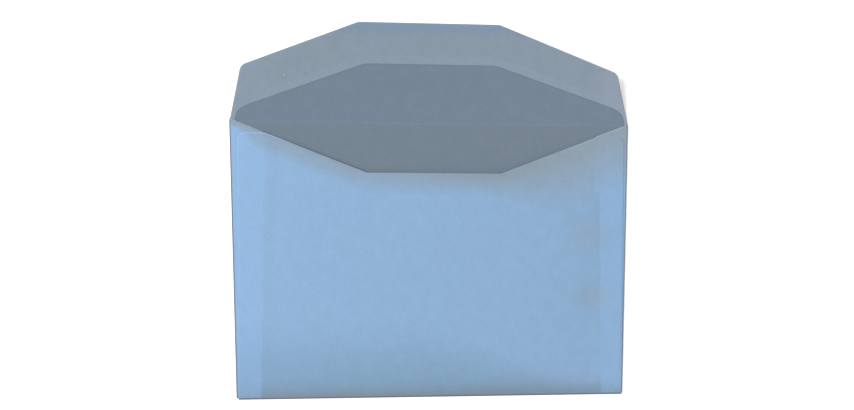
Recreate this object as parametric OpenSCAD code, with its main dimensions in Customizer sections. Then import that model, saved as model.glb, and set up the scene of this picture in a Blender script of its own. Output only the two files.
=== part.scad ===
// A pocket envelope folded from one sheet of paper, lying on its address side
// with the seal flap open. The origin is the middle of the address side's outer
// face: X runs along the bottom fold, Y towards the seal flap, Z up through the pocket.

/* [Pocket] */
// Width over the two side folds
pocket_w = 162; // [140:1:230]
// Height from the bottom fold to the score of the seal flap
pocket_h = 114; // [90:1:165]
// How far the back panel bows up above its pressed folds
bow_h = 1.0; // [0.2:0.1:3]
// Length over which the back panel rolls up out of the bottom fold
roll_len = 10; // [5:1:30]

/* [Sheet] */
// Thickness of the paper
sheet_t = 0.1; // [0.08:0.01:0.2]
// Inside radius of the pressed side folds
side_fold_r = 0.2; // [0.1:0.05:0.6]
// Inside radius of the score that the seal flap turns up on
score_r = 0.8; // [0.4:0.1:2]
// Relief that keeps neighbouring flaps clear of each other at the blank's corners
corner_relief = 0.3; // [0.2:0.1:1]

/* [Back panel] */
// Depth of the throat below the score
throat_depth = 20; // [12:0.5:30]
// Width of the throat's flat bottom
throat_w = 54.6; // [30:1:80]
// Distance from the side folds at which the throat's sides, carried on, would meet the score
throat_side_inset = 1.7; // [1:0.1:10]
// Radius of the throat's corners
throat_r = 4; // [1:0.5:8]
// Drop from the score to the panel's shoulders
shoulder_drop = 4.5; // [3:0.5:8]
// Radius of the shoulders
shoulder_r = 3; // [1:0.5:6]
// Inset of the panel's side edges from the side folds, at the shoulders
panel_inset_top = 2.4; // [1.5:0.1:5]
// The same inset at the bottom fold
panel_inset_foot = 1.2; // [1:0.1:3]
// Sideways drift of the panel, which was folded a little out of true
panel_drift = 0.8; // [-0.8:0.1:0.8]

/* [Side flaps] */
// Width of the ear at the top of each side flap
ear_w = 13.8; // [12:0.1:20]
// Depth of the ear below the score
ear_depth = 24; // [18:0.5:35]
// Width of the side flap just below its ear
side_flap_w = 11.6; // [10:0.1:11.8]
// Width of the side flap at its foot
side_flap_foot_w = 9.2; // [6:0.1:11]
// Height of the slant from the ear down to the flap's narrower edge
ear_slant_h = 3; // [1:0.5:6]
// Height of the slant at the foot of the side flap
foot_slant_h = 4; // [2:0.5:10]
// Radius of the side flap's free corners
ear_r = 1.2; // [0.5:0.1:2]
// Height of the slanted tops above the line of the throat's sides
ear_proud = 0.3; // [0.1:0.1:1]

/* [Seal flap] */
// Length of the flap from the score, measured along the paper
flap_len = 39.3; // [32:1:60]
// Width of the flap's straight top edge
flap_top_w = 54.7; // [30:1:80]
// Distance from the score to the flap's shoulders, along the paper
flap_side_len = 21.7; // [12:1:28]
// How far the side edges slant in by the time they reach the shoulders
flap_side_in = 6.2; // [2:0.1:12]
// Radius of the flap's shoulders
flap_shoulder_r = 3.6; // [1:0.1:8]
// Radius of the corners at the ends of the top edge
flap_top_r = 4; // [1:0.5:8]
// Angle at which the flap springs up from the score, in degrees
flap_rise = 12; // [5:1:40]
// Further angle by which the gum's pull curls it up on the way to its top edge, in degrees
flap_curl = 5; // [1:1:15]

/* [Hidden] */
paper_colour = "#90b1d3";

// Columns and rows of the bowed panel's surface, steps of a round corner and of a curled section
bow_columns = 20;
bow_rows = 14;
corner_steps = 6;
curl_steps = 8;
fold_facets = 24;
// Rows crowd towards the bottom fold, where the panel rolls most
row_crowding = 1.5;
// Reach of a cutting shape past the paper that it cuts
cut_reach = 5;
// Lap of one stretch of the sheet into the next, which makes them one solid
lap = 0.02;

// The side folds: outer radius, and where the flat panels between them end
side_fold_outer = side_fold_r + sheet_t;
fold_x = pocket_w / 2 - side_fold_outer;
// Underside of the back panel at the folds, where it lies on the side flaps
seat_z = 2 * side_fold_outer;
// The bottom fold carries the back panel round both layers of a side fold
foot_fold_outer = (seat_z + sheet_t) / 2;
foot_y = foot_fold_outer - pocket_h / 2;
score_y = pocket_h / 2;
throat_y = score_y - throat_depth;
throat_slope = atan(throat_depth / (pocket_w / 2 - throat_side_inset - throat_w / 2));
shoulder_y = score_y - shoulder_drop;
panel_top_x = pocket_w / 2 - panel_inset_top;
panel_foot_x = pocket_w / 2 - panel_inset_foot;
// Ends of the side flaps and their folds: short of the score, or where the slanted top meets the fold
side_top_y = min(score_y - corner_relief, slant_y(fold_x));
side_foot_y = foot_y + corner_relief;
// The bend at the score: its radius to the middle of the sheet, and its length along the paper
score_bend = score_r + sheet_t / 2;
score_arc = score_bend * flap_rise * PI / 180;

function unit(v) = v / norm(v);

// Height of the side flaps' slanted tops, which follow the throat's sides
function slant_y(x) = throat_y + ear_proud + (abs(x) - throat_w / 2) * tan(throat_slope);

// Points along the arc that rounds corner b, between its neighbours a and c
function corner_arc(a, b, c, r) =
    let (
        to_a = unit(a - b),
        to_c = unit(c - b),
        half = acos(to_a * to_c) / 2,
        centre = b + unit(to_a + to_c) * r / sin(half),
        from = b + to_a * r / tan(half) - centre,
        to = b + to_c * r / tan(half) - centre,
        start = atan2(from.y, from.x),
        turn = (atan2(to.y, to.x) - start + 540) % 360 - 180
    )
    [for (i = [0:corner_steps])
        let (angle = start + turn * i / corner_steps)
        centre + r * [cos(angle), sin(angle)]];

// The outline through corners, each rounded by the radius at its own place in radii
function rounded(corners, radii) =
    let (n = len(corners))
    [for (i = [0:n - 1])
        each radii[i] > 0
            ? corner_arc(corners[(i + n - 1) % n], corners[i], corners[(i + 1) % n], radii[i])
            : [corners[i]]];

// Height of the back panel's underside: bowed across the pocket, rolling up from the bottom fold
function back_z(x, y) =
    seat_z + bow_h * max(0, 1 - pow(x / fold_x, 2)) * (1 - exp(-max(0, y - foot_y) / roll_len));

// One thickness of paper that follows the bowed panel over the whole pocket, raised by lift
module bowed_sheet(lift) {
    columns = [
        -pocket_w / 2,
        for (i = [0:bow_columns]) fold_x * (2 * i / bow_columns - 1),
        pocket_w / 2
    ];
    rows = [
        foot_y - lap,
        for (j = [0:bow_rows]) foot_y + (score_y - foot_y) * pow(j / bow_rows, row_crowding)
    ];
    nx = len(columns);
    ny = len(rows);
    under = nx * ny;
    points = [
        for (side = [sheet_t, 0]) for (y = rows) for (x = columns) [x, y, back_z(x, y) + lift + side]
    ];
    panels = [
        for (j = [0:ny - 2]) for (i = [0:nx - 2])
            let (a = j * nx + i, b = a + 1, c = a + nx + 1, d = a + nx)
            each [[a, c, b], [a, d, c], [a + under, b + under, c + under], [a + under, c + under, d + under]]
    ];
    rim = [
        for (i = [0:nx - 2]) i,
        for (j = [0:ny - 2]) j * nx + nx - 1,
        for (i = [nx - 1:-1:1]) (ny - 1) * nx + i,
        for (j = [ny - 1:-1:1]) j * nx
    ];
    walls = [
        for (k = [0:len(rim) - 1])
            let (a = rim[k], b = rim[(k + 1) % len(rim)])
            each [[a, b, b + under], [a, b + under, a + under]]
    ];
    polyhedron(points, concat(panels, walls));
}

// Half a ring of paper, turned round on the side of -X
module fold_section(outer_r) {
    difference() {
        circle(outer_r, $fn = fold_facets);
        circle(outer_r - sheet_t, $fn = fold_facets);
        translate([0, -outer_r]) square(2 * outer_r);
    }
}

// The address side, flat between the folds
module front_panel() {
    translate([-fold_x - lap, foot_y - lap, 0])
        cube([2 * (fold_x + lap), score_y - foot_y + 2 * lap, sheet_t]);
}

// Outline of the back panel, from below the bottom fold to the shoulders, before the throat is cut
module back_blank() {
    translate([panel_drift, 0])
        polygon(rounded(
            [
                [-panel_foot_x, -score_y],
                [panel_foot_x, -score_y],
                [panel_top_x, shoulder_y],
                [-panel_top_x, shoulder_y]
            ],
            [0, 0, shoulder_r, shoulder_r]
        ));
}

// The throat: a flat bottom between two sides that slope up past the shoulders
module throat() {
    rise = throat_depth + cut_reach;
    mouth_x = throat_w / 2 + rise / tan(throat_slope);
    polygon(rounded(
        [
            [-throat_w / 2, throat_y],
            [throat_w / 2, throat_y],
            [mouth_x, throat_y + rise],
            [-mouth_x, throat_y + rise]
        ],
        [throat_r, throat_r, 0, 0]
    ));
}

module back_panel() {
    intersection() {
        bowed_sheet(0);
        linear_extrude(bow_h + cut_reach) difference() {
            back_blank();
            throat();
        }
    }
}

// The bottom fold, as long as the back panel's foot is wide
module bottom_fold() {
    translate([panel_drift - panel_foot_x, foot_y, foot_fold_outer])
        rotate([90, 0, 90]) linear_extrude(2 * panel_foot_x) fold_section(foot_fold_outer);
}

// Outline of the left side flap: slanted top, wide ear, narrower edge tapering to a slanted foot
module side_flap_outline() {
    outer_x = -pocket_w / 2;
    ear_x = outer_x + ear_w;
    ear_foot_y = score_y - ear_depth;
    slant_x = -throat_w / 2 - (side_top_y - throat_y - ear_proud) / tan(throat_slope);
    polygon(rounded(
        [
            [-fold_x - lap, side_foot_y],
            [outer_x + side_flap_foot_w, side_foot_y + foot_slant_h],
            [outer_x + side_flap_w, ear_foot_y - ear_slant_h],
            [ear_x, ear_foot_y],
            [ear_x, slant_y(ear_x)],
            [slant_x, side_top_y],
            [-fold_x - lap, side_top_y]
        ],
        [0, ear_r, 0, ear_r, ear_r, 0, 0]
    ));
}

// The left side flap, glued under the back panel
module side_flap() {
    intersection() {
        bowed_sheet(-sheet_t);
        linear_extrude(bow_h + cut_reach) side_flap_outline();
    }
}

// The left side fold, between its reliefs at the score and at the bottom fold
module side_fold() {
    translate([-fold_x, side_top_y, side_fold_outer])
        rotate([90, 0, 0]) linear_extrude(side_top_y - side_foot_y) fold_section(side_fold_outer);
}

// Place and slope of the sheet's middle at distance s along the flap: [y, z, slope]
function flap_station(s) =
    let (curl_bend = (flap_len - score_arc) / (flap_curl * PI / 180))
    s < score_arc
        ? let (a = flap_rise * s / score_arc)
            [score_y + score_bend * sin(a), sheet_t / 2 + score_bend * (1 - cos(a)), a]
        : let (
            a = flap_rise + flap_curl * (s - score_arc) / (flap_len - score_arc),
            y = score_y + score_bend * sin(flap_rise),
            z = sheet_t / 2 + score_bend * (1 - cos(flap_rise))
        )
            [y + curl_bend * (sin(a) - sin(flap_rise)), z + curl_bend * (cos(flap_rise) - cos(a)), a];

// The flap's section along Y and Z: a band of paper that turns up at the score and curls on upwards
module flap_section() {
    stations = [
        for (i = [0:curl_steps - 1]) score_arc * i / curl_steps,
        for (i = [0:curl_steps]) score_arc + (flap_len - score_arc) * i / curl_steps
    ];
    function edge(s, side) =
        let (p = flap_station(s)) [p[0] - side * sin(p[2]), p[1] + side * cos(p[2])];
    polygon([
        for (s = stations) edge(s, -sheet_t / 2),
        for (i = [len(stations) - 1:-1:0]) edge(stations[i], sheet_t / 2)
    ]);
}

// The flap's outline, flat, measured from the score; it runs on below the score to take in the bend
module flap_outline() {
    shoulder_x = fold_x - flap_side_in;
    polygon(rounded(
        [
            [-fold_x, -cut_reach],
            [fold_x, -cut_reach],
            [fold_x, 0],
            [shoulder_x, flap_side_len],
            [flap_top_w / 2, flap_len],
            [-flap_top_w / 2, flap_len],
            [-shoulder_x, flap_side_len],
            [-fold_x, 0]
        ],
        [0, 0, 0, flap_shoulder_r, flap_top_r, flap_top_r, flap_shoulder_r, 0]
    ));
}

// The seal flap, cut from its curled section square to the line from the score to the top edge
module seal_flap() {
    tip = flap_station(flap_len);
    chord_angle = atan2(tip[1], tip[0] - score_y);
    intersection() {
        translate([-fold_x, 0, 0]) rotate([90, 0, 90]) linear_extrude(2 * fold_x) flap_section();
        translate([0, score_y, 0]) rotate([chord_angle, 0, 0])
            translate([0, 0, -cut_reach]) linear_extrude(2 * cut_reach) flap_outline();
    }
}

// The whole folded sheet, one solid: where flaps are glued their faces meet
module envelope() {
    color(paper_colour) union() {
        front_panel();
        for (side = [0, 1]) mirror([side, 0, 0]) {
            side_fold();
            side_flap();
        }
        bottom_fold();
        back_panel();
        seal_flap();
    }
}

envelope();
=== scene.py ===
import math

import bmesh
import bpy
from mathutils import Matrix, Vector, noise


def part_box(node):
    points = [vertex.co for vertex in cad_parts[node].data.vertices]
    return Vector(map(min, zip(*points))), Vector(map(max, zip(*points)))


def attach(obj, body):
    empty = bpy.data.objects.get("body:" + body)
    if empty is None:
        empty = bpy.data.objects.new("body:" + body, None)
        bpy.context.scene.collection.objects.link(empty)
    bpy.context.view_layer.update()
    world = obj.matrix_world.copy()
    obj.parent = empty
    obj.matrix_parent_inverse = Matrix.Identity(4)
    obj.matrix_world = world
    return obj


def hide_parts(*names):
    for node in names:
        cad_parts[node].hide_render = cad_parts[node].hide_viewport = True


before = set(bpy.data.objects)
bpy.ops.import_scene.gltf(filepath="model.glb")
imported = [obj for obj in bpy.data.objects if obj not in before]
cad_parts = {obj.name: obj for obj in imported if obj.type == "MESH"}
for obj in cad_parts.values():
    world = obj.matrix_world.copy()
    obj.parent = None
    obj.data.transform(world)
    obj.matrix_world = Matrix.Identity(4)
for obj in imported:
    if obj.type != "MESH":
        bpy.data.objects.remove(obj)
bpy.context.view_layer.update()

# A paper envelope with its seal flap open, folded from one flat blank. Metres, in the frame's
# axes: X along the bottom fold, Y towards the seal flap, Z up through the pocket.
MM = 0.001
# Places closer than the first are one place, and within the second a part is found by its place
TINY = 0.001 * MM
NEAR = 0.01 * MM

# The two sizes of the pocket, which the frame gives, and the sheet
FRAME_LOW, FRAME_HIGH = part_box("envelope")
POCKET_W = FRAME_HIGH.x - FRAME_LOW.x
POCKET_H = -2 * FRAME_LOW.y
SHEET_T = 0.1 * MM
GLUE_T = 0.01 * MM

# Folds: radii to the middle of the sheet, and the steps that each is bent in
FOLD_STEPS = 8
SIDE_FOLD_R = 0.25 * MM - GLUE_T / 2
FOOT_FOLD_R = 0.34 * MM
SCORE_R = 0.85 * MM
SCORE_STEPS = 4
FLAP_RISE = math.radians(12)
FLAP_CURL = math.radians(5)

# Outline of the folded pocket: where its sheet bends into the side folds and into the bottom fold,
# which was pressed a little too low, and where the seal flap is scored
SIDE_FOLD_W = 0.3 * MM
FOLD_X = POCKET_W / 2 - SIDE_FOLD_W
FOOT_DROP = 0.2 * MM
FOOT_Y = FOOT_FOLD_R + SHEET_T / 2 - FOOT_DROP - POCKET_H / 2
SCORE_Y = POCKET_H / 2
# Cut away at both ends of the side folds, to keep them clear of the bottom fold and the score
CORNER_RELIEF = 0.3 * MM

# Back panel: how far its left and right side stand in from the pocket's, at the foot and the shoulders
PANEL_INSET = {-1: (0.9 * MM, 3.2 * MM), 1: (0.4 * MM, 1.6 * MM)}
PANEL_FOOT_Y = -POCKET_H / 2
SHOULDER_Y = SCORE_Y - 4.5 * MM
SHOULDER_R = 3 * MM
# Its throat, which drifted to the right as the panel was folded
PANEL_DRIFT = 0.8 * MM
THROAT_Y = SCORE_Y - 20.2 * MM
THROAT_X = 27.3 * MM
THROAT_R = 4 * MM
THROAT_MOUTH_X = POCKET_W / 2 - 1.7 * MM
THROAT_SLOPE = (SCORE_Y - THROAT_Y) / (THROAT_MOUTH_X - THROAT_X)

# Side flaps: widths from the pocket's side edge, and heights in the folded pocket. Below its ear
# the left flap, at side -1, is wider than the right one, at side 1.
EAR_W = 13.8 * MM
EAR_R = 1.2 * MM
EAR_PROUD = 0.3 * MM
EAR_FOOT_Y = SCORE_Y - 24 * MM
EAR_SLANT_H = 3 * MM
WAIST_Y = EAR_FOOT_Y - EAR_SLANT_H
SIDE_FLAP_W = {-1: 13 * MM, 1: 11.6 * MM}
SIDE_FLAP_FOOT_W = {-1: 10.4 * MM, 1: 9.5 * MM}
SIDE_FLAP_TOP_Y = SCORE_Y - CORNER_RELIEF
SIDE_FLAP_FOOT_Y = FOOT_Y + CORNER_RELIEF
FOOT_SLANT_H = 4 * MM
FOOT_SLANT_Y = SIDE_FLAP_FOOT_Y + FOOT_SLANT_H
# The two straight runs of a side flap's inner edge, where the seam shows through the panel
SEAM_RUNS = ((FOOT_SLANT_Y, WAIST_Y), (EAR_FOOT_Y, SHOULDER_Y))

# Corners of the seal flap on the flat blank, from the left end of the score round to its right end,
# and their roundness. The flap was cut a little out of true.
FLAP_LEN = 39.2 * MM
FLAP_TIP_Y = SCORE_Y + FLAP_LEN
FLAP_CORNERS = (
    (-FOLD_X - 0.3 * MM, SCORE_Y),
    (-74.7 * MM, SCORE_Y + 22 * MM),
    (-28.3 * MM, FLAP_TIP_Y),
    (26.6 * MM, FLAP_TIP_Y),
    (75.1 * MM, SCORE_Y + 21.2 * MM),
    (FOLD_X + 0.4 * MM, SCORE_Y),
)
FLAP_RADII = (0, 3.6 * MM, 4 * MM, 4 * MM, 3.6 * MM, 0)

# Mesh: spacing of the grid, closer spacing where the panel rolls out of the bottom fold, steps of a
# round corner, the rim that the guillotine pressed over, and the angle above which an edge is sharp
GRID = 1.5 * MM
ROLL_GRID = 0.5 * MM
ROLL_H = 5 * MM
CORNER_STEPS = 6
RIM_W = 0.4 * MM
RIM_DROP = 0.09 * MM
SHARP_ANGLE = math.radians(40)

# Shape of the upper layers, all of which stand above this height once they are folded: the bow of the
# back panel, its bulge out of the bottom fold, and its waves
UPPER_LAYERS_Z = 0.5 * MM
BOW_H = 0.5 * MM
BOW_REACH = 22 * MM
FOOT_BULGE = 0.55 * MM
FOOT_BULGE_REACH = 3.5 * MM
WAVE_H = 0.2 * MM
WAVE_SIZE = 45 * MM
WAVE_SEED = 3.7
# The step down from double to single paper beside a seam, and the sag beyond it
SEAM_STEP = 0.02 * MM
SEAM_SLOPE_W = 1.2 * MM
SAG = 0.09 * MM
SAG_PLACE = 5 * MM
SAG_REACH = 4 * MM
# Dents: place in the folded pocket, depth, and reach along X and Y
DENTS = (
    (68.3 * MM, -14.8 * MM, 0.28 * MM, 5 * MM, 4 * MM),
    (63.5 * MM, 15.7 * MM, 0.26 * MM, 7 * MM, 5 * MM),
    (-67 * MM, 6.5 * MM, 0.08 * MM, 6 * MM, 4 * MM),
    (55 * MM, -13 * MM, 0.05 * MM, 6 * MM, 4 * MM),
)

# The UV map of the flat blank: the width that it spans, and the place at its middle
BLANK_MAP = "blank"
BLANK_SPAN = 0.3
BLANK_MIDDLE = (0, -35 * MM)
# The attribute that is 1 on the cut border and 0 inside the rim
CUT_BORDER = "cut_border"

# From here to the camera, places and reaches are in millimetres, as the materials read them. Four
# numbers are two places along X and the values there, with an even change between them.

# Outside: the blue of single and of double paper, and half the width over which they change
SINGLE_BLUE = "#93b6da"
DOUBLE_BLUE = "#95bae1"
SEAM_BLUR = 0.6

# Painted shade round the throat, below the raised flap: its grey from left to right, and where one grey
# turns into the other
LEFT_SHADE_GREY = "#92a0ac"
RIGHT_SHADE_GREY = "#98a8b3"
SHADE_GREY_TURN = (30, 65)
# Its reach and its strength along the throat's left, lower and right side
THROAT_SHADES = (
    ((-80, -70, 1.5, 8), (-80, -68, 1, 1)),
    ((25, 50, 9.5, 25), (-40, 25, 0.5, 1)),
    ((28, 55, 9.5, 25), (0, 80, 1, 1)),
)
# Darker painted shade along the very edge of the throat's left side
THROAT_EDGE_SHADE_REACH = 2.5
THROAT_EDGE_SHADE = (-28, -36, 0, 0.35)
# Spots of painted shade, in dents, below the flap and in the open end of the left fold: place in the
# folded pocket, reach along X and Y, and strength
SHADED_SPOTS = (
    (65, 12, 14, 10, 0.32),
    (67, -15, 12, 8, 0.42),
    (46, 28, 13, 8, 0.14),
    (-78.6, 55.9, 2.8, 1.8, 1),
)

# Painted shade, darker towards the bottom fold: its tint, its reach up from the bottom fold, and a long
# spot of painted shade on the single paper beside the right seam
UNSHADED_TINT = "#ffffff"
BOTTOM_SHADE_TINT = "#e7e9e7"
BOTTOM_SHADE_REACH = (0, 60, 36, 6)
SEAM_SHADE = (70, 22, 10, 48, 0.38)
# Painted shade where the back panel rolls down into the bottom fold: its colour, reach and strength
FOOT_FOLD_SHADE = "#85929f"
FOOT_FOLD_SHADE_REACH = (20, 55, 9, 12)
FOOT_FOLD_SHADE_STRENGTH = (30, 60, 1, 0.65)
# How much of these two painted shades of the bottom is left where the paper is double
BOTTOM_SHADE_ON_DOUBLE = 0.7
FOOT_FOLD_SHADE_ON_DOUBLE = 0.3

# Painted highlight on the rims of the cut edges that face the lamp, round the back panel's shoulders and
# at the end of the left fold: the share of the rim over which that fades inwards, the heights between
# which it sets in, its strength from right to left, and where the fold's end begins
RIM_HIGHLIGHT = "#9ac2e4"
RIM_HIGHLIGHT_FADE = 0.5
RIM_HIGHLIGHT_UP = (SHOULDER_Y / MM - 6, SHOULDER_Y / MM - 2)
RIM_HIGHLIGHT_LEFT = (-50, -60, 0.2, 1)
FOLD_END_X = -78.3

# Painted contact shadow along the crests of the folds: colours, and how far each reaches out of its fold
FOOT_CREST_SHADE = "#6a6b76"
LEFT_CREST_SHADE = "#5f606e"
RIGHT_CREST_SHADE = "#83868f"
FOOT_CREST_REACH = 0.5
LEFT_CREST_REACH = 0.5
RIGHT_CREST_REACH = 0.55
CREST_BLUR = 0.1

# Inside: the bare paper, a bluer painted light along the flap's tip and a paler painted light at the
# right, and the places between which it turns into them
INSIDE_PAPER = "#96a5b8"
INSIDE_TIP_LIGHT = "#8a9fb8"
INSIDE_RIGHT_LIGHT = "#9caabc"
INSIDE_TIP_LIGHT_TURN = (FLAP_TIP_Y / MM - 6, FLAP_TIP_Y / MM - 1)
INSIDE_RIGHT_LIGHT_TURN = (62, 78)
# Painted shade over all of the inside, darker at the left, from left to right
LEFT_SHADE_TINT = "#f6f7f5"
RIGHT_SHADE_TINT = "#ffffff"
SHADE_TINT_TURN = (-70, 70)
# The band of gum: its colour, its gap from the print, the area that it keeps to, and their soft edges
GUMMED_PAPER = "#93a3b3"
GUM_GAP = 3.1
GUM_GAP_BLUR = 0.4
GUM_CORNERS = [(-63.5, 62), (70.8, 62), (68.4, 100), (-68.5, 100)]
GUM_BLUR = 1.5
# A speck of dried gum, under a millimetre across: its place, and the radii of its rim and its middle
PALE_FLECK = "#b8c6cf"
FLECK = (-58.3, 75.6)
FLECK_RADII = (0.4, 0.2)

# The field of print, from 10 mm above the bottom fold to the flap, and the roundness of the corner that
# each of its sides makes with the next
PRINT_CORNERS = [(-79, -47), (79.45, -47), (79.45, 62.5), (25.4, 80.5), (-26.5, 80.5), (-79, 61.8)]
PRINT_ROUNDINGS = (0, 0, 8.3, 1, 1, 8.3)
PRINT_BLUR = 0.15
# Its ink on the flap, and the same ink painted darker in the pocket as shade, which meet at the score,
# and the fuller ink along its edge
FLAP_INK = "#7d8da1"
SHADED_POCKET_INK = "#7a8998"
INK_EDGE = "#75848f"
INK_TURN = (SCORE_Y / MM - 0.5, SCORE_Y / MM - 0.1)
INK_EDGE_W = 0.6

# The torn fibre of the cut edges
CUT_FIBRE = "#b4cbe2"

# The paper's cloudy look-through and fibre grain: sizes, and spread of brightness either way. Real
# fibres are under 0.05 mm wide, so the grain is drawn as coarse as the picture can show.
CLOUD_SIZE = 5
CLOUD_SHADE = 0.02
GRAIN_SIZE = 0.7
GRAIN_SHADE = 0.035
NOISE_SPAN = (0.3, 0.7)
# The tooth of the surface, in metres, how strongly it is felt, and the low gloss of uncoated paper
TOOTH_H = 0.02 * MM
TOOTH_STRENGTH = 0.5
PAPER_SPECULAR = 0.25
OUTSIDE_ROUGHNESS = 0.9
INSIDE_ROUGHNESS = 0.85

# Camera: place, tilt in degrees, nearest depth, lens and shift of the photograph
CAMERA_PLACE = (8.68 * MM, 35.21 * MM, 290.53 * MM)
CAMERA_TURN = (-5.0085, -4.1154, 0.4007)
CAMERA_NEAR = 10 * MM
IMAGE_W = 854
FOCAL_PX = 700
SENSOR_W = 36
CAMERA_SHIFT = (-0.0907, 0.0393)

# Light: a warm surround, and a cool soft lamp from the left that makes it up to white
WORLD_COLOUR = (1.1, 1.0, 0.88)
WORLD_LIGHT = 0.403
KEY_COLOUR = (0.93, 1.0, 1.09)
KEY_PLACE = (-1.34, 0.5, 1.3)
KEY_SIZE = 0.96
KEY_POWER = 31.2
# Floor: white where it is seen, and a warm grey where it only throws light back on the paper
FLOOR_SIZE = 4
FLOOR_GAP = 0.05 * MM
FLOOR_GLOW = 0.4
FLOOR_GREY = "#bcb8b3"
WHITE = "#ffffff"


def select_only(piece):
    """Make this object the only one selected, and active."""
    bpy.ops.object.select_all(action="DESELECT")
    piece.select_set(True)
    bpy.context.view_layer.objects.active = piece


def pick(sheet, kind, wanted):
    """In edit mode, select just the VERT, EDGE or FACE parts whose middle answers wanted."""
    bpy.ops.mesh.select_mode(type=kind)
    bpy.ops.mesh.select_all(action="DESELECT")
    shape = bmesh.from_edit_mesh(sheet.data)
    if kind == "FACE":
        chosen = [face for face in shape.faces if wanted(face.calc_center_median())]
    elif kind == "EDGE":
        chosen = [edge for edge in shape.edges if wanted((edge.verts[0].co + edge.verts[1].co) / 2)]
    else:
        chosen = [vertex for vertex in shape.verts if wanted(vertex.co)]
    for part in chosen:
        part.select_set(True)
    shape.select_flush(True)
    bmesh.update_edit_mesh(sheet.data)


def near(x, y):
    """A test for pick: the part lies at this place of the flat blank."""
    return lambda place: math.hypot(place.x - x, place.y - y) < NEAR


def extrude(sheet, x, y, step):
    """Draw the edge whose middle is at x, y out by step."""
    pick(sheet, "EDGE", near(x, y))
    bpy.ops.mesh.extrude_region_move(TRANSFORM_OT_translate={"value": step})


def slide(sheet, x, y, step):
    """Move the corner at x, y by step."""
    pick(sheet, "VERT", near(x, y))
    bpy.ops.transform.translate(value=step)


def cut(sheet, place, normal, wanted=lambda place: True):
    """Cut the faces that answer wanted along a plane across the blank."""
    pick(sheet, "FACE", wanted)
    bpy.ops.mesh.bisect(plane_co=place, plane_no=normal)


def round_corners(sheet, corners, radius, opening):
    """Round blank corners whose two edges stand at this opening angle."""
    pick(sheet, "VERT", lambda place: any(near(x, y)(place) for x, y in corners))
    bpy.ops.mesh.bevel(
        offset=radius / math.tan(opening / 2), segments=CORNER_STEPS, affect="VERTICES"
    )


def merge_faces(sheet, wanted):
    """Make the faces that answer wanted one face."""
    pick(sheet, "FACE", wanted)
    bpy.ops.mesh.dissolve_faces()


def angle_at(corner, first, second):
    """Angle between the two edges that run from a corner of the blank to its neighbours."""
    return (Vector(first) - Vector(corner)).angle(Vector(second) - Vector(corner))


def wrap(radius, angle, steps):
    """Length of paper that a bend of this radius takes up, bent in even steps."""
    return 2 * steps * radius * math.tan(angle / steps / 2)


def hinge_lines(start, radius, angle, steps):
    """Places of the lines that a bend is folded along, upwards from its start.

    A negative radius makes them run downwards.
    """
    step = wrap(radius, angle, steps) / steps
    return [start + (i + 0.5) * step for i in range(steps)]


def spread(start, end, step):
    """Even places between start and end, no further than step apart, without the ends."""
    count = math.ceil(abs(end - start) / step)
    return [start + (end - start) * i / count for i in range(1, count)]


# Where the flat panels beyond the folds begin on the blank, and the lines that the sheet is bent along
SIDE_START_X = FOLD_X + wrap(SIDE_FOLD_R, math.pi, FOLD_STEPS)
FOOT_WRAP = wrap(FOOT_FOLD_R, math.pi, FOLD_STEPS)
BACK_START_Y = FOOT_Y - FOOT_WRAP
FLAP_START_Y = SCORE_Y + wrap(SCORE_R, FLAP_RISE, SCORE_STEPS)
SIDE_HINGES = {
    side: hinge_lines(side * FOLD_X, side * SIDE_FOLD_R, math.pi, FOLD_STEPS) for side in (-1, 1)
}
FOOT_HINGES = hinge_lines(FOOT_Y, -FOOT_FOLD_R, math.pi, FOLD_STEPS)
SCORE_HINGES = hinge_lines(SCORE_Y, SCORE_R, FLAP_RISE, SCORE_STEPS)
FLAP_ROWS = spread(FLAP_START_Y, FLAP_TIP_Y, GRID)


def back_y(y):
    """Where height y of the folded back panel lies on the flat blank, and the other way round."""
    return BACK_START_Y + FOOT_Y - y


def side_x(inset):
    """Where a place this far in from the pocket's side edge lies on a flat side flap."""
    return SIDE_START_X + inset - SIDE_FOLD_W


def panel_x(side, y):
    """X of one side of the back panel at height y of the folded pocket."""
    foot, top = PANEL_INSET[side]
    share = (y - PANEL_FOOT_Y) / (SHOULDER_Y - PANEL_FOOT_Y)
    return side * (POCKET_W / 2 - foot - (top - foot) * share)


def slant_y(side, inset):
    """Height of a side flap's slanted top this far in from the edge: just proud of the throat's side."""
    beyond_throat = POCKET_W / 2 - inset - side * PANEL_DRIFT - THROAT_X
    return THROAT_Y + EAR_PROUD + beyond_throat * THROAT_SLOPE


def seam_x(side, y):
    """Distance from the middle to a side flap's inner edge at height y of the folded pocket."""
    share = min(max((y - FOOT_SLANT_Y) / (WAIST_Y - FOOT_SLANT_Y), 0), 1)
    taper = SIDE_FLAP_FOOT_W[side] + (SIDE_FLAP_W[side] - SIDE_FLAP_FOOT_W[side]) * share
    ear = min(max((y - WAIST_Y) / EAR_SLANT_H, 0), 1)
    return POCKET_W / 2 - taper - (EAR_W - SIDE_FLAP_W[side]) * ear


def add_address_side():
    """The middle of the blank, inside face up."""
    bpy.ops.object.select_all(action="DESELECT")
    bpy.ops.mesh.primitive_plane_add(size=1, location=(0, (SCORE_Y + FOOT_Y) / 2, SHEET_T / 2))
    sheet = bpy.context.object
    sheet.name = "folded_sheet"
    sheet.data.name = "folded_sheet"
    sheet.scale = (2 * FOLD_X, SCORE_Y - FOOT_Y, 1)
    bpy.ops.object.transform_apply(location=True, rotation=False, scale=True)
    bpy.ops.object.mode_set(mode="EDIT")
    return sheet


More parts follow.
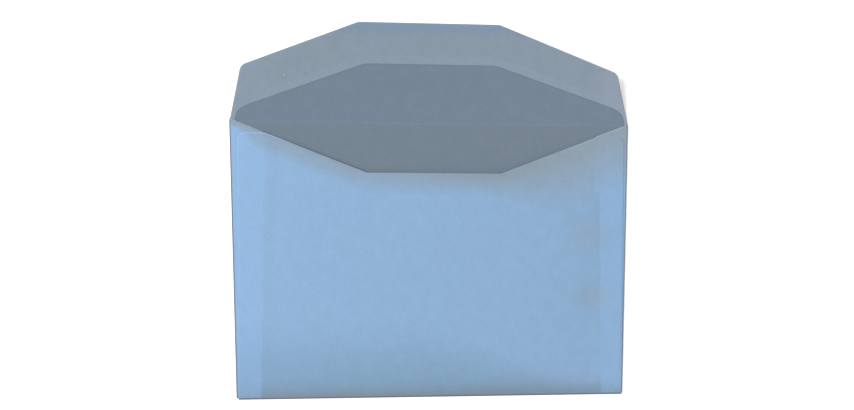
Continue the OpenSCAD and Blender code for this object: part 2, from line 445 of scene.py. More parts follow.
def add_seal_flap(sheet):
    """Draw the flap out of the top edge in two stages, slide its corners into place and round them."""
    stage = FLAP_LEN / 2
    for start in (SCORE_Y, SCORE_Y + stage):
        extrude(sheet, 0, start, (0, stage, 0))
    for corner, side, row in zip(FLAP_CORNERS[1:5], (-1, -1, 1, 1), (1, 2, 2, 1)):
        x = side * FOLD_X
        y = SCORE_Y + row * stage
        slide(sheet, x, y, (corner[0] - x, corner[1] - y, 0))
    merge_faces(sheet, lambda place: place.y > SCORE_Y)
    for i in range(1, 5):
        opening = angle_at(FLAP_CORNERS[i], FLAP_CORNERS[i - 1], FLAP_CORNERS[i + 1])
        round_corners(sheet, [FLAP_CORNERS[i]], FLAP_RADII[i], opening)


def mark_fold_ends(sheet):
    """Cut the address side where the bottom and side folds end, and draw the flap's two ends out."""
    for side in (-1, 1):
        cut(sheet, (panel_x(side, PANEL_FOOT_Y), 0, 0), (1, 0, 0), lambda place: place.y < SCORE_Y)
    for y in (SIDE_FLAP_FOOT_Y, SIDE_FLAP_TOP_Y):
        cut(sheet, (0, y, 0), (0, 1, 0), lambda place: place.y < SCORE_Y)
    for side, corner in ((-1, FLAP_CORNERS[0]), (1, FLAP_CORNERS[5])):
        slide(sheet, side * FOLD_X, SCORE_Y, (corner[0] - side * FOLD_X, 0, 0))


def add_back_panel(sheet):
    """Draw the back panel out of the bottom edge, down the blank to its shoulders, round the throat."""
    throat = back_y(THROAT_Y)
    shoulder = back_y(SHOULDER_Y)
    left_foot, right_foot = (panel_x(side, PANEL_FOOT_Y) for side in (-1, 1))
    middle = (left_foot + right_foot) / 2
    extrude(sheet, middle, FOOT_Y, (0, -FOOT_WRAP, 0))
    extrude(sheet, middle, BACK_START_Y, (0, throat - BACK_START_Y, 0))
    for side, foot in ((-1, left_foot), (1, right_foot)):
        slide(sheet, foot, throat, (panel_x(side, THROAT_Y) - foot, 0, 0))
        inner = PANEL_DRIFT + side * THROAT_X
        cut(sheet, (inner, 0, 0), (1, 0, 0), lambda place: place.y < BACK_START_Y)
    kink_step = (SHOULDER_Y - THROAT_Y) / THROAT_SLOPE
    for side in (-1, 1):
        outer = panel_x(side, THROAT_Y)
        inner = PANEL_DRIFT + side * THROAT_X
        extrude(sheet, (outer + inner) / 2, throat, (0, shoulder - throat, 0))
        slide(sheet, inner, shoulder, (side * kink_step, 0, 0))
        slide(sheet, outer, shoulder, (panel_x(side, SHOULDER_Y) - outer, 0, 0))
    merge_faces(sheet, lambda place: place.y < BACK_START_Y)
    corners = [(PANEL_DRIFT + side * THROAT_X, throat) for side in (-1, 1)]
    round_corners(sheet, corners, THROAT_R, math.pi - math.atan(THROAT_SLOPE))
    corners = [(panel_x(side, SHOULDER_Y), shoulder) for side in (-1, 1)]
    round_corners(sheet, corners, SHOULDER_R, math.pi / 2)


def add_side_flap(sheet, side):
    """Draw a side flap out of one side of the address side and slide its corners to its outline."""

    def on_flap(place):
        return side * place.x > SIDE_START_X

    middle_y = (SIDE_FLAP_FOOT_Y + SIDE_FLAP_TOP_Y) / 2
    tip_x = side_x(EAR_W)
    extrude(sheet, side * FOLD_X, middle_y, (side * (SIDE_START_X - FOLD_X), 0, 0))
    extrude(sheet, side * SIDE_START_X, middle_y, (side * (tip_x - SIDE_START_X), 0, 0))
    for y in (WAIST_Y, EAR_FOOT_Y):
        cut(sheet, (0, y, 0), (0, 1, 0), on_flap)
    tip_y = slant_y(side, EAR_W)
    fold_end_y = slant_y(side, SIDE_FOLD_W)
    slide(sheet, side * tip_x, SIDE_FLAP_TOP_Y, (0, tip_y - SIDE_FLAP_TOP_Y, 0))
    slide(sheet, side * SIDE_START_X, SIDE_FLAP_TOP_Y, (0, fold_end_y - SIDE_FLAP_TOP_Y, 0))
    waist_step = side * (SIDE_FLAP_W[side] - EAR_W)
    foot_step = side * (SIDE_FLAP_FOOT_W[side] - EAR_W)
    slide(sheet, side * tip_x, WAIST_Y, (waist_step, 0, 0))
    slide(sheet, side * tip_x, SIDE_FLAP_FOOT_Y, (foot_step, FOOT_SLANT_H, 0))
    merge_faces(sheet, on_flap)
    slant = math.atan(THROAT_SLOPE)
    round_corners(sheet, [(side * tip_x, tip_y)], EAR_R, math.pi / 2 + slant)
    opening = angle_at((tip_x, EAR_FOOT_Y), (tip_x, tip_y), (side_x(SIDE_FLAP_W[side]), WAIST_Y))
    round_corners(sheet, [(side * tip_x, EAR_FOOT_Y)], EAR_R, opening)


def add_rims(sheet):
    """Inset a narrow rim along the cut edges of the flap, the back panel and the side flaps."""
    for flap in (
        lambda place: place.y > SCORE_Y,
        lambda place: place.y < BACK_START_Y,
        lambda place: place.x > SIDE_START_X,
        lambda place: place.x < -SIDE_START_X,
    ):
        pick(sheet, "FACE", flap)
        bpy.ops.mesh.inset(thickness=RIM_W, use_boundary=True)


def add_seam_lines(sheet):
    """Cut the back panel along both sides of the step over each side flap's inner edge."""
    for side in (-1, 1):
        for low_y, high_y in SEAM_RUNS:
            low = Vector((side * seam_x(side, low_y), back_y(low_y), 0))
            high = Vector((side * seam_x(side, high_y), back_y(high_y), 0))

            def beside_run(place):
                return side * place.x > THROAT_X and high.y < place.y < low.y

            along = high - low
            for offset in (0, SEAM_SLOPE_W):
                start = (side * (seam_x(side, low_y) - offset), low.y, 0)
                cut(sheet, start, (along.y, -along.x, 0), beside_run)


def add_grid(sheet):
    """Cut the blank into a fine grid, with the hinge lines of every fold and the lines of the seams."""
    for side in (-1, 1):
        lines = SIDE_HINGES[side] + [side * SIDE_START_X]
        lines += spread(side * SIDE_START_X, side * side_x(EAR_W), GRID)
        for x in lines:
            cut(sheet, (x, 0, 0), (1, 0, 0), lambda place: side * place.x > FOLD_X)
    for x in spread(-FOLD_X, FOLD_X, GRID):
        cut(sheet, (x, 0, 0), (1, 0, 0))
    roll_end_y = back_y(FOOT_Y + ROLL_H)
    rows = FOOT_HINGES + SCORE_HINGES + [FLAP_START_Y, roll_end_y]
    rows += spread(FOOT_Y, SCORE_Y, GRID)
    rows += spread(BACK_START_Y, roll_end_y, ROLL_GRID)
    rows += spread(roll_end_y, back_y(SHOULDER_Y), GRID)
    rows += FLAP_ROWS
    for y in rows:
        cut(sheet, (0, y, 0), (0, 1, 0))
    add_seam_lines(sheet)
    pick(sheet, "VERT", lambda place: True)
    bpy.ops.mesh.remove_doubles(threshold=TINY)


def pick_border(sheet, wanted):
    """In edit mode, select the cut border's vertices that answer wanted."""
    bpy.ops.mesh.select_mode(type="VERT")
    shape = bmesh.from_edit_mesh(sheet.data)
    for vertex in shape.verts:
        vertex.select_set(vertex.is_boundary and wanted(vertex.co))
    shape.select_flush(True)
    bmesh.update_edit_mesh(sheet.data)


def press_rims(sheet):
    """Press the cut border away from the side that shows, which is the inside of the seal flap alone."""
    pick_border(sheet, lambda place: place.y > SCORE_Y + RIM_W)
    bpy.ops.transform.translate(value=(0, 0, -RIM_DROP))
    pick_border(sheet, lambda place: place.y < BACK_START_Y or abs(place.x) > SIDE_START_X)
    bpy.ops.transform.translate(value=(0, 0, RIM_DROP))


def store_blank_map(sheet):
    """Keep the flat blank as the piece's UV map, in which patterns follow the paper."""
    layer = sheet.data.uv_layers.new(name=BLANK_MAP)
    for loop in sheet.data.loops:
        place = sheet.data.vertices[loop.vertex_index].co
        layer.uv[loop.index].vector = (
            0.5 + (place.x - BLANK_MIDDLE[0]) / BLANK_SPAN,
            0.5 + (place.y - BLANK_MIDDLE[1]) / BLANK_SPAN,
        )


def store_cut_border(sheet):
    """Mark the cut border's vertices, so that the rim beside it can take a painted highlight."""
    border = sheet.data.attributes.new(name=CUT_BORDER, type="FLOAT", domain="POINT")
    shape = bmesh.new()
    shape.from_mesh(sheet.data)
    for vertex in shape.verts:
        border.data[vertex.index].value = float(vertex.is_boundary)
    shape.free()


def fold(sheet, blank, lines, axis, angle, way):
    """Bend the sheet by an even share of angle at each hinge line, from the last line to the first.

    blank holds the vertices' places on the flat blank. The axis of the bend is X or Y, and way is 1
    where the paper with the larger Y or X turns, and -1 where the paper with the smaller one does.
    """
    across = 1 if axis == "X" else 0
    for line in reversed(lines):
        shape = bmesh.from_edit_mesh(sheet.data)
        for vertex, place in zip(shape.verts, blank):
            vertex.select_set(way * (place[across] - line) > TINY)
        shape.select_flush(True)
        bmesh.update_edit_mesh(sheet.data)
        pivot = (0, line, SHEET_T / 2) if axis == "X" else (line, 0, SHEET_T / 2)
        # Without a window the operator turns the other way, so the angle is given reversed
        bpy.ops.transform.rotate(
            value=-angle / len(lines), orient_axis=axis, orient_type="GLOBAL", center_override=pivot
        )


def fold_up(sheet, blank):
    """Fold the side flaps in, then the back panel up over them, and let the seal flap spring open."""
    bpy.ops.mesh.select_mode(type="VERT")
    for side in (-1, 1):
        fold(sheet, blank, SIDE_HINGES[side], "Y", -side * math.pi, side)
    fold(sheet, blank, FOOT_HINGES, "X", -math.pi, -1)
    fold(sheet, blank, FLAP_ROWS, "X", FLAP_CURL, 1)
    fold(sheet, blank, SCORE_HINGES, "X", FLAP_RISE, 1)


def step_up(value, width):
    """A smooth step from 0 at nothing to 1 at width."""
    share = min(max(value / width, 0), 1)
    return share * share * (3 - 2 * share)


def back_rise(x, y):
    """How far the back panel and the side flaps under it stand above their pressed folds."""
    across = max(0, 1 - (x / FOLD_X) ** 2)
    up = max(0, y - FOOT_Y)
    bow = BOW_H * (1 - math.exp(-up / BOW_REACH))
    bulge = FOOT_BULGE * (1 - math.exp(-up / FOOT_BULGE_REACH))
    swell = noise.noise(Vector((x / WAVE_SIZE, y / WAVE_SIZE, WAVE_SEED)))
    wave = WAVE_H * swell * min(1, up / WAVE_SIZE)
    rise = across * (bow + bulge + wave)
    for dent_x, dent_y, depth, reach_x, reach_y in DENTS:
        rise -= depth * math.exp(-((x - dent_x) / reach_x) ** 2 - ((y - dent_y) / reach_y) ** 2)
    return rise


def panel_sink(x, y):
    """How far the back panel's single layer sinks inside the seams."""
    inside = seam_x(math.copysign(1, x), y) - abs(x)
    step = SEAM_STEP * step_up(inside, SEAM_SLOPE_W)
    sag = SAG * step_up(inside, SAG_PLACE) * math.exp(-((inside - SAG_PLACE) / SAG_REACH) ** 2)
    return step + sag


def shape_pocket(sheet, blank):
    """Bow and dent the upper layers, and sink the back panel's single layer."""
    for vertex, flat in zip(sheet.data.vertices, blank):
        place = vertex.co
        on_seal_flap = flat.y > SCORE_Y and abs(flat.x) < SIDE_START_X
        if place.z < UPPER_LAYERS_Z or on_seal_flap:
            continue
        rise = back_rise(place.x, place.y)
        if flat.y < BACK_START_Y:
            rise -= panel_sink(place.x, place.y)
        vertex.co.z += rise


def cut_out_blank():
    """The flat blank with its panels, rims and grid, inside face up."""
    sheet = add_address_side()
    add_seal_flap(sheet)
    mark_fold_ends(sheet)
    add_back_panel(sheet)
    for side in (-1, 1):
        add_side_flap(sheet, side)
    add_rims(sheet)
    add_grid(sheet)
    bpy.ops.mesh.select_all(action="SELECT")
    bpy.ops.mesh.normals_make_consistent(inside=False)
    if any(face.normal.z < 0 for face in bmesh.from_edit_mesh(sheet.data).faces):
        bpy.ops.mesh.flip_normals()
    bpy.ops.object.mode_set(mode="OBJECT")
    return sheet


def give_wall(sheet):
    """Give the folded sheet its thickness, and the cut edge round its border."""
    wall = sheet.modifiers.new("paper", "SOLIDIFY")
    wall.thickness = SHEET_T
    wall.offset = 0
    wall.material_offset = 1
    wall.material_offset_rim = 2
    select_only(sheet)
    bpy.ops.object.modifier_apply(modifier=wall.name)
    bpy.ops.object.shade_smooth_by_angle(angle=SHARP_ANGLE)


def model_folded_sheet():
    """The whole envelope, cut out flat, folded and shaped as one sheet of paper."""
    sheet = cut_out_blank()
    blank = [vertex.co.copy() for vertex in sheet.data.vertices]
    store_blank_map(sheet)
    store_cut_border(sheet)
    bpy.ops.object.mode_set(mode="EDIT")
    press_rims(sheet)
    fold_up(sheet, blank)
    bpy.ops.object.mode_set(mode="OBJECT")
    shape_pocket(sheet, blank)
    # In the order in which the wall takes them: the face that is modelled, the other face, the border
    for material in (make_printed_inside(), make_blue_outside(), make_cut_edge()):
        sheet.data.materials.append(material)
    give_wall(sheet)
    return sheet


def linear(hex_colour):
    """An sRGB hex colour as linear red, green, blue and alpha."""
    parts = [int(hex_colour[i:i + 2], 16) / 255 for i in (1, 3, 5)]
    return [part / 12.92 if part <= 0.04045 else ((part + 0.055) / 1.055) ** 2.4 for part in parts] + [1]


def add(tree, kind, settings={}, links={}):
    """Add a node, set its properties and inputs by name or number, and link inputs to nodes or sockets.

    A setting of an input that is a hex colour becomes linear.
    """
    node = tree.nodes.new("ShaderNode" + kind)
    for name, value in settings.items():
        if isinstance(name, str) and name in node.bl_rna.properties:
            setattr(node, name, value)
        else:
            node.inputs[name].default_value = linear(value) if isinstance(value, str) else value
    for name, source in links.items():
        socket = source if isinstance(source, bpy.types.NodeSocket) else source.outputs[0]
        tree.links.new(socket, node.inputs[name])
    return node


def change(start, end, low=0, high=1):
    """Settings of a map range that goes evenly from low, where its value is start, to high at end."""
    return {"From Min": start, "From Max": end, "To Min": low, "To Max": high}


def soft_change(start, end, low=0, high=1):
    """Settings of a map range that eases out of low, where its value is start, and into high at end."""
    return {"interpolation_type": "SMOOTHSTEP", **change(start, end, low, high)}


def start_material(name):
    """A new material and its node tree, emptied."""
    material = bpy.data.materials.new(name)
    material.use_nodes = True
    material.node_tree.nodes.clear()
    return material, material.node_tree


def add_blank_place(tree):
    """The place on the flat blank as X and Y in millimetres, with Z 1 for the constant of a line."""
    blank = add(tree, "UVMap", {"uv_map": BLANK_MAP})
    span = BLANK_SPAN / MM
    corner = (BLANK_MIDDLE[0] / MM - span / 2, BLANK_MIDDLE[1] / MM - span / 2, 1)
    return add(tree, "Mapping", {"Location": corner, "Scale": (span, span, 1)}, {"Vector": blank})


def add_folded_place(tree):
    """The place in the folded pocket, seen from above, in the same form."""
    place = add(tree, "TexCoord").outputs["Object"]
    settings = {"Location": (0, 0, 1), "Scale": (1 / MM, 1 / MM, 0)}
    return add(tree, "Mapping", settings, {"Vector": place})


def line_through(start, end, inside):
    """A line as the vector whose dot product with X, Y and 1 is the distance from it.

    The distance is positive on the side on which inside lies.
    """
    along = (Vector(end) - Vector(start)).normalized()
    inward = Vector((-along.y, along.x))
    if inward.dot(Vector(inside) - Vector(start)) < 0:
        inward = -inward
    return (inward.x, inward.y, -inward.dot(Vector(start)))


def add_depth(tree, place, corners, roundings=None):
    """How deep a place lies inside a convex area of the blank; outside it the depth is negative.

    roundings holds, for each side of the area, how far its corner with the sides before it is smoothed.
    """
    middle = sum((Vector(corner) for corner in corners), Vector((0, 0))) / len(corners)
    depth = None
    for i, start in enumerate(corners):
        line = line_through(start, corners[(i + 1) % len(corners)], middle)
        distance = add(tree, "VectorMath", {"operation": "DOT_PRODUCT", 1: line}, {0: place})
        distance = distance.outputs["Value"]
        if depth is None:
            depth = distance
            continue
        settings = {"operation": "SMOOTH_MIN", 2: roundings[i] if roundings else 0}
        depth = add(tree, "Math", settings, {0: depth, 1: distance})
    return depth


def rectangle(left, foot, right, top):
    """Corners in millimetres of an upright rectangle, given in metres."""
    return [(x / MM, y / MM) for x, y in ((left, foot), (right, foot), (right, top), (left, top))]


def finish_paper(tree, place, colour, roughness):
    """Give a colour the cloudy look-through and fibre grain of paper, and shade it as a matt sheet."""
    clouds = add(tree, "TexNoise", {"Scale": 1 / CLOUD_SIZE, "Detail": 3}, {"Vector": place})
    grain = add(tree, "TexNoise", {"Scale": 1 / GRAIN_SIZE, "Detail": 2}, {"Vector": place})
    for pattern, shade in ((clouds, CLOUD_SHADE), (grain, GRAIN_SHADE)):
        light = add(tree, "MapRange", change(*NOISE_SPAN, 1 - shade, 1 + shade), {"Value": pattern})
        settings = {"blend_type": "MULTIPLY", "Fac": 1}
        colour = add(tree, "MixRGB", settings, {"Color1": colour, "Color2": light})
    tooth = add(tree, "Bump", {"Strength": TOOTH_STRENGTH, "Distance": TOOTH_H}, {"Height": grain})
    settings = {"Roughness": roughness, "Specular IOR Level": PAPER_SPECULAR}
    shader = add(tree, "BsdfPrincipled", settings, {"Base Color": colour, "Normal": tooth})
    add(tree, "OutputMaterial", {}, {"Surface": shader})


def add_double_paper(tree, place):
    """1 on the side flaps and where the back panel is glued down on them, and 0 on single paper."""
    split = add(tree, "SeparateXYZ", {}, {0: place})
    aside = add(tree, "Math", {"operation": "ABSOLUTE"}, {0: split.outputs["X"]})
    double = add(tree, "Math", {"operation": "GREATER_THAN", 1: FOLD_X / MM}, {0: aside})
    # Each run of a seam bounds a band, carried on past the run's ends so that the bands meet
    for side in (-1, 1):
        for low_y, high_y in SEAM_RUNS:
            slope = (seam_x(side, high_y) - seam_x(side, low_y)) / (high_y - low_y)
            foot_x = seam_x(side, low_y) - slope * FOOT_SLANT_H
            top_x = seam_x(side, high_y) + slope * POCKET_H
            foot_y = back_y(low_y - FOOT_SLANT_H) / MM
            top_y = back_y(high_y + POCKET_H) / MM
            corners = [
                (side * foot_x / MM, foot_y),
                (side * top_x / MM, top_y),
                (side * POCKET_W / MM, top_y),
                (side * POCKET_W / MM, foot_y),
            ]
            inside = add_depth(tree, place, corners)
            band = add(tree, "MapRange", soft_change(-SEAM_BLUR, SEAM_BLUR), {"Value": inside})
            double = add(tree, "Math", {"operation": "MAXIMUM"}, {0: double, 1: band})
    return double


def add_upper_layers(tree, place):
    """1 on the back panel and the side flaps, and 0 on the address side and the seal flap."""
    depth = add_depth(tree, place, rectangle(-FOLD_X, FOOT_Y, FOLD_X, 2 * FLAP_TIP_Y))
    return add(tree, "Math", {"operation": "LESS_THAN", 1: 0}, {0: depth})


def add_throat_shade(tree, folded, across):
    """How much painted shade the paper round the throat gets below the raised flap."""
    outline = (
        (PANEL_DRIFT - THROAT_MOUTH_X, SCORE_Y),
        (PANEL_DRIFT - THROAT_X, THROAT_Y),
        (PANEL_DRIFT + THROAT_X, THROAT_Y),
        (PANEL_DRIFT + THROAT_MOUTH_X, SCORE_Y),
    )
    corners = [(x / MM, y / MM) for x, y in outline]
    mouth = (PANEL_DRIFT / MM, SCORE_Y / MM)
    distances = []
    shares = []
    for start, end, (reach, strength) in zip(corners, corners[1:], THROAT_SHADES):
        settings = {"operation": "DOT_PRODUCT", 1: line_through(start, end, mouth)}
        distance = add(tree, "VectorMath", settings, {0: folded}).outputs["Value"]
        reach = add(tree, "MapRange", change(*reach), {"Value": across})
        strength = add(tree, "MapRange", change(*strength), {"Value": across})
        gap = add(tree, "Math", {"operation": "DIVIDE"}, {0: distance, 1: reach})
        share = add(tree, "MapRange", change(-1, 0), {"Value": gap})
        distances.append(distance)
        shares.append(add(tree, "Math", {"operation": "MULTIPLY"}, {0: share, 1: strength}))
    left, lower, right = shares
    shaded = add(tree, "Math", {"operation": "MINIMUM"}, {0: left, 1: lower})
    shaded = add(tree, "Math", {"operation": "MINIMUM"}, {0: shaded, 1: right})
    edge = add(tree, "MapRange", change(-THROAT_EDGE_SHADE_REACH, 0), {"Value": distances[0]})
    leftwards = add(tree, "MapRange", change(*THROAT_EDGE_SHADE), {"Value": across})
    edge = add(tree, "Math", {"operation": "MULTIPLY"}, {0: edge, 1: leftwards})
    return add(tree, "Math", {"operation": "ADD", "use_clamp": True}, {0: shaded, 1: edge})


def add_spot(tree, folded, spot):
    """A soft oval spot on the folded pocket, as strong in its middle as the spot says."""
    x, y, reach_x, reach_y, strength = spot
    settings = {"Location": (-x / reach_x, -y / reach_y, 0), "Scale": (1 / reach_x, 1 / reach_y, 0)}
    from_middle = add(tree, "Mapping", settings, {"Vector": folded})
    away = add(tree, "VectorMath", {"operation": "LENGTH"}, {0: from_middle}).outputs["Value"]
    return add(tree, "MapRange", soft_change(1, 0, 0, strength), {"Value": away})


def add_height_share(tree, above_fold, across, reach):
    """Height above the bottom fold as a share of a reach that changes from left to right."""
    reach = add(tree, "MapRange", change(*reach), {"Value": across})
    return add(tree, "Math", {"operation": "DIVIDE"}, {0: above_fold, 1: reach})


def keep_on_upper_layers(tree, share, upper, double, kept):
    """Keep a share on the upper layers only, and bring it down to kept where they are double."""
    most = add(tree, "MapRange", change(0, 1, 1, kept), {"Value": double})
    most = add(tree, "Math", {"operation": "MULTIPLY"}, {0: most, 1: upper})
    return add(tree, "Math", {"operation": "MULTIPLY"}, {0: most, 1: share})


def add_bottom_shade(tree, folded, split, upper, double):
    """How much painted shade the upper layers get from the bottom fold up, and how much more painted
    shade where they roll into that fold.
    """
    across = split.outputs["X"]
    above_fold = add(tree, "Math", {"operation": "SUBTRACT", 1: FOOT_Y / MM}, {0: split.outputs["Y"]})
    height = add_height_share(tree, above_fold, across, BOTTOM_SHADE_REACH)
    darkened = add(tree, "MapRange", soft_change(1, 0), {"Value": height})
    darkened = keep_on_upper_layers(tree, darkened, upper, double, BOTTOM_SHADE_ON_DOUBLE)
    spot = keep_on_upper_layers(tree, add_spot(tree, folded, SEAM_SHADE), upper, double, 0)
    darkened = add(tree, "Math", {"operation": "ADD", "use_clamp": True}, {0: darkened, 1: spot})
    height = add_height_share(tree, above_fold, across, FOOT_FOLD_SHADE_REACH)
    shaded = add(tree, "MapRange", change(1, 0), {"Value": height})
    shaded = add(tree, "Math", {"operation": "POWER", 1: 2}, {0: shaded})
    strength = add(tree, "MapRange", change(*FOOT_FOLD_SHADE_STRENGTH), {"Value": across})
    shaded = add(tree, "Math", {"operation": "MULTIPLY"}, {0: shaded, 1: strength})
    return darkened, keep_on_upper_layers(tree, shaded, upper, double, FOOT_FOLD_SHADE_ON_DOUBLE)


def add_rim_highlight(tree, place, split):
    """How much painted highlight the rim gets: on the back panel's shoulders and at the end of the left
    fold.
    """
    on_blank = add(tree, "SeparateXYZ", {}, {0: place})
    settings = {"operation": "LESS_THAN", 1: BACK_START_Y / MM}
    on_panel = add(tree, "Math", settings, {0: on_blank.outputs["Y"]})
    at_fold_end = add(tree, "Math", {"operation": "LESS_THAN", 1: FOLD_END_X}, {0: split.outputs["X"]})
    highlit = add(tree, "Math", {"operation": "MAXIMUM"}, {0: on_panel, 1: at_fold_end})
    border = add(tree, "Attribute", {"attribute_name": CUT_BORDER}).outputs["Fac"]
    for limits, value in (
        ((0, RIM_HIGHLIGHT_FADE), border),
        (RIM_HIGHLIGHT_UP, split.outputs["Y"]),
        (RIM_HIGHLIGHT_LEFT, split.outputs["X"]),
    ):
        share = add(tree, "MapRange", change(*limits), {"Value": value})
        highlit = add(tree, "Math", {"operation": "MULTIPLY"}, {0: highlit, 1: share})
    return highlit


def make_blue_outside():
    """The outer face, with painted shade round the throat, in dents and towards and along the folds, and
    painted highlights on rims.
    """
    # Uncoated envelope paper, dyed light blue in the pulp and pressed smooth between the machine's steel
    # rolls: matt from every side and softly cloudy. Its greying round the throat, in dents and towards
    # and along its folds is painted shade, and its pale rims are painted highlights.
    # Glued double it lets less of the grey inside through, and looks a little bluer.
    material, tree = start_material("uncoated_blue_paper")
    place = add_blank_place(tree)
    folded = add_folded_place(tree)
    split = add(tree, "SeparateXYZ", {}, {0: folded})
    across = split.outputs["X"]
    upper = add_upper_layers(tree, place)
    double = add_double_paper(tree, place)
    colour = add(tree, "MixRGB", {"Color1": SINGLE_BLUE, "Color2": DOUBLE_BLUE}, {"Fac": double})
    # Painted shade: darker towards the bottom fold and beside the right seam, and greyer where the panel
    # rolls into that fold
    darkened, foot_fold_shaded = add_bottom_shade(tree, folded, split, upper, double)
    darkening = add(tree, "MixRGB", {"Color1": UNSHADED_TINT, "Color2": BOTTOM_SHADE_TINT}, {"Fac": darkened})
    settings = {"blend_type": "MULTIPLY", "Fac": 1}
    colour = add(tree, "MixRGB", settings, {"Color1": colour, "Color2": darkening})
    # Painted shade where the panel rolls into the bottom fold
    colour = add(tree, "MixRGB", {"Color2": FOOT_FOLD_SHADE}, {"Fac": foot_fold_shaded, "Color1": colour})
    # Painted shade round the throat, below the raised flap
    shaded = add_throat_shade(tree, folded, across)
    # Spots of painted shade in the dents, below the flap and in the open end of the left fold
    for spot in SHADED_SPOTS:
        spot = add_spot(tree, folded, spot)
        shaded = add(tree, "Math", {"operation": "MAXIMUM"}, {0: shaded, 1: spot})
    shaded = add(tree, "Math", {"operation": "MULTIPLY"}, {0: shaded, 1: upper})
    rightwards = add(tree, "MapRange", change(*SHADE_GREY_TURN), {"Value": across})
    grey = add(tree, "MixRGB", {"Color1": LEFT_SHADE_GREY, "Color2": RIGHT_SHADE_GREY}, {"Fac": rightwards})
    colour = add(tree, "MixRGB", {}, {"Fac": shaded, "Color1": colour, "Color2": grey})
    # Painted highlight on the rims that face the lamp
    highlit = add_rim_highlight(tree, place, split)
    colour = add(tree, "MixRGB", {"Color2": RIM_HIGHLIGHT}, {"Fac": highlit, "Color1": colour})
    # Painted contact shadow along the crests of the folds
    for crest, reach, fold_area in (
        (FOOT_CREST_SHADE, FOOT_CREST_REACH, rectangle(-FOLD_X, BACK_START_Y, FOLD_X, FOOT_Y)),
        (LEFT_CREST_SHADE, LEFT_CREST_REACH, rectangle(-SIDE_START_X, FOOT_Y, -FOLD_X, SCORE_Y)),
        (RIGHT_CREST_SHADE, RIGHT_CREST_REACH, rectangle(FOLD_X, FOOT_Y, SIDE_START_X, SCORE_Y)),
    ):
        depth = add_depth(tree, place, fold_area)
        crest_shaded = add(tree, "MapRange", soft_change(-reach, CREST_BLUR), {"Value": depth})
        colour = add(tree, "MixRGB", {"Color2": crest}, {"Fac": crest_shaded, "Color1": colour})
    finish_paper(tree, place, colour, OUTSIDE_ROUGHNESS)
    return material


def make_printed_inside():
    """The inner face: greyer paper, a grey-blue field of print, dried gum round the flap's edge, painted
    light at the flap's tip and right end, and painted shade at the left and on the ink in the pocket.
    """
    # The same uncoated paper, printed from a rubber plate with thin ink that sinks in: the print is as
    # matt as the paper, and a little fuller along its edge, where the plate squeezed the ink out. The
    # gum was rolled on wet, and dried to a faintly darker band.
    material, tree = start_material("plate_printed_paper")
    place = add_blank_place(tree)
    split = add(tree, "SeparateXYZ", {}, {0: place})
    across = split.outputs["X"]
    up = split.outputs["Y"]
    print_depth = add_depth(tree, place, PRINT_CORNERS, PRINT_ROUNDINGS)
    gum_depth = add_depth(tree, place, GUM_CORNERS)
    settings = soft_change(-GUM_GAP + GUM_GAP_BLUR, -GUM_GAP - GUM_GAP_BLUR)
    gummed = add(tree, "MapRange", settings, {"Value": print_depth})
    in_area = add(tree, "MapRange", soft_change(-GUM_BLUR, GUM_BLUR), {"Value": gum_depth})
    gummed = add(tree, "Math", {"operation": "MULTIPLY"}, {0: gummed, 1: in_area})
    colour = add(tree, "MixRGB", {"Color1": INSIDE_PAPER, "Color2": GUMMED_PAPER}, {"Fac": gummed})
    from_fleck = add(tree, "VectorMath", {"operation": "DISTANCE", 1: (*FLECK, 1)}, {0: place})
    # Painted light: bluer towards the flap's tip and paler at the right
    for limits, value, other in (
        (INSIDE_TIP_LIGHT_TURN, up, INSIDE_TIP_LIGHT),
        (INSIDE_RIGHT_LIGHT_TURN, across, INSIDE_RIGHT_LIGHT),
        (FLECK_RADII, from_fleck.outputs["Value"], PALE_FLECK),
    ):
        share = add(tree, "MapRange", soft_change(*limits), {"Value": value})
        colour = add(tree, "MixRGB", {"Color2": other}, {"Fac": share, "Color1": colour})
    # The ink in the pocket is the flap's ink painted darker as shade
    on_flap = add(tree, "MapRange", soft_change(*INK_TURN), {"Value": up})
    ink = add(tree, "MixRGB", {"Color1": SHADED_POCKET_INK, "Color2": FLAP_INK}, {"Fac": on_flap})
    inside_edge = add(tree, "MapRange", soft_change(0, INK_EDGE_W), {"Value": print_depth})
    ink = add(tree, "MixRGB", {"Color1": INK_EDGE}, {"Fac": inside_edge, "Color2": ink})
    printed = add(tree, "MapRange", soft_change(-PRINT_BLUR, PRINT_BLUR), {"Value": print_depth})
    colour = add(tree, "MixRGB", {}, {"Fac": printed, "Color1": colour, "Color2": ink})
    # Painted shade, darker towards the left of the inside
    rightwards = add(tree, "MapRange", change(*SHADE_TINT_TURN), {"Value": across})
    shade_tint = add(tree, "MixRGB", {"Color1": LEFT_SHADE_TINT, "Color2": RIGHT_SHADE_TINT}, {"Fac": rightwards})
    settings = {"blend_type": "MULTIPLY", "Fac": 1}
    colour = add(tree, "MixRGB", settings, {"Color1": colour, "Color2": shade_tint})
    finish_paper(tree, place, colour, INSIDE_ROUGHNESS)
    return material


def make_cut_edge():
    """The cut edges of the sheet."""
    # The same paper where the guillotine cut it: torn fibre ends, rougher and paler than the faces
    material, tree = start_material("guillotined_paper_edge")
    place = add_blank_place(tree)
    fibre = add(tree, "TexNoise", {"Scale": 1 / GRAIN_SIZE, "Detail": 1}, {"Vector": place})
    colour = add(tree, "MixRGB", {"Color1": SINGLE_BLUE, "Color2": CUT_FIBRE}, {"Fac": fibre})
    finish_paper(tree, place, colour, OUTSIDE_ROUGHNESS)
    return material


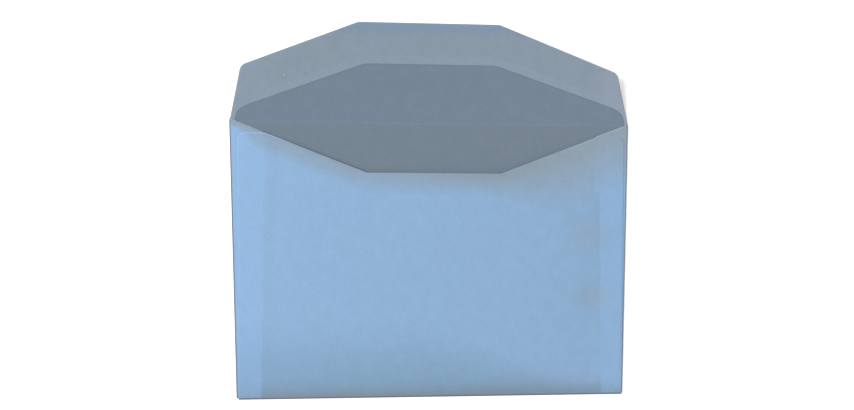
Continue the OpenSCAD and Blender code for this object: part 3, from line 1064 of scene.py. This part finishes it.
def add_camera():
    """The camera above the envelope, tilted and shifted as the photograph was taken."""
    bpy.ops.object.select_all(action="DESELECT")
    bpy.ops.object.camera_add(
        location=CAMERA_PLACE, rotation=[math.radians(angle) for angle in CAMERA_TURN]
    )
    camera = bpy.context.object
    camera.data.sensor_width = SENSOR_W
    camera.data.lens = FOCAL_PX / IMAGE_W * SENSOR_W
    camera.data.shift_x = CAMERA_SHIFT[0]
    camera.data.shift_y = CAMERA_SHIFT[1]
    camera.data.clip_start = CAMERA_NEAR
    bpy.context.scene.camera = camera


def add_shown(tree):
    """1 for the rays that show the background: those of the camera, of gloss and of glass."""
    path = add(tree, "LightPath")
    rays = {0: path.outputs["Is Camera Ray"], 1: path.outputs["Is Glossy Ray"]}
    shown = add(tree, "Math", {"operation": "ADD"}, rays)
    rays = {0: shown, 1: path.outputs["Is Transmission Ray"]}
    return add(tree, "Math", {"operation": "ADD", "use_clamp": True}, rays)


def add_floor():
    """A pale floor that the envelope lies on: white to the camera, with the envelope's shadow on it."""
    bpy.ops.object.select_all(action="DESELECT")
    bpy.ops.mesh.primitive_plane_add(size=FLOOR_SIZE, location=(0, 0, -FLOOR_GAP))
    floor = bpy.context.object
    floor.name = "floor"
    material, tree = start_material("pale_floor")
    grey = add(tree, "BsdfDiffuse", {"Color": FLOOR_GREY})
    white = add(tree, "BsdfDiffuse", {"Color": WHITE})
    glow = add(tree, "Emission", {"Strength": FLOOR_GLOW})
    bright = add(tree, "AddShader", {}, {0: white, 1: glow})
    shader = add(tree, "MixShader", {}, {"Fac": add_shown(tree), 1: grey, 2: bright})
    add(tree, "OutputMaterial", {}, {"Surface": shader})
    floor.data.materials.append(material)


def add_lights():
    """A warm even surround, white where it is seen, and one broad cool lamp from the left."""
    world = bpy.data.worlds.new("studio")
    bpy.context.scene.world = world
    world.use_nodes = True
    tree = world.node_tree
    tree.nodes.clear()
    fill = add(tree, "Background", {"Color": (*WORLD_COLOUR, 1), "Strength": WORLD_LIGHT})
    white = add(tree, "Background", {"Color": WHITE, "Strength": 1})
    shader = add(tree, "MixShader", {}, {"Fac": add_shown(tree), 1: fill, 2: white})
    add(tree, "OutputWorld", {}, {"Surface": shader})
    towards = Vector(KEY_PLACE).to_track_quat("Z", "Y").to_euler()
    bpy.ops.object.light_add(type="AREA", location=KEY_PLACE, rotation=towards)
    key = bpy.context.object
    key.data.size = KEY_SIZE
    key.data.energy = KEY_POWER
    key.data.color = KEY_COLOUR


sheet = model_folded_sheet()
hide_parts("envelope")
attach(sheet, "root")
add_floor()
add_lights()
add_camera()
bpy.context.scene.view_settings.view_transform = "Standard"
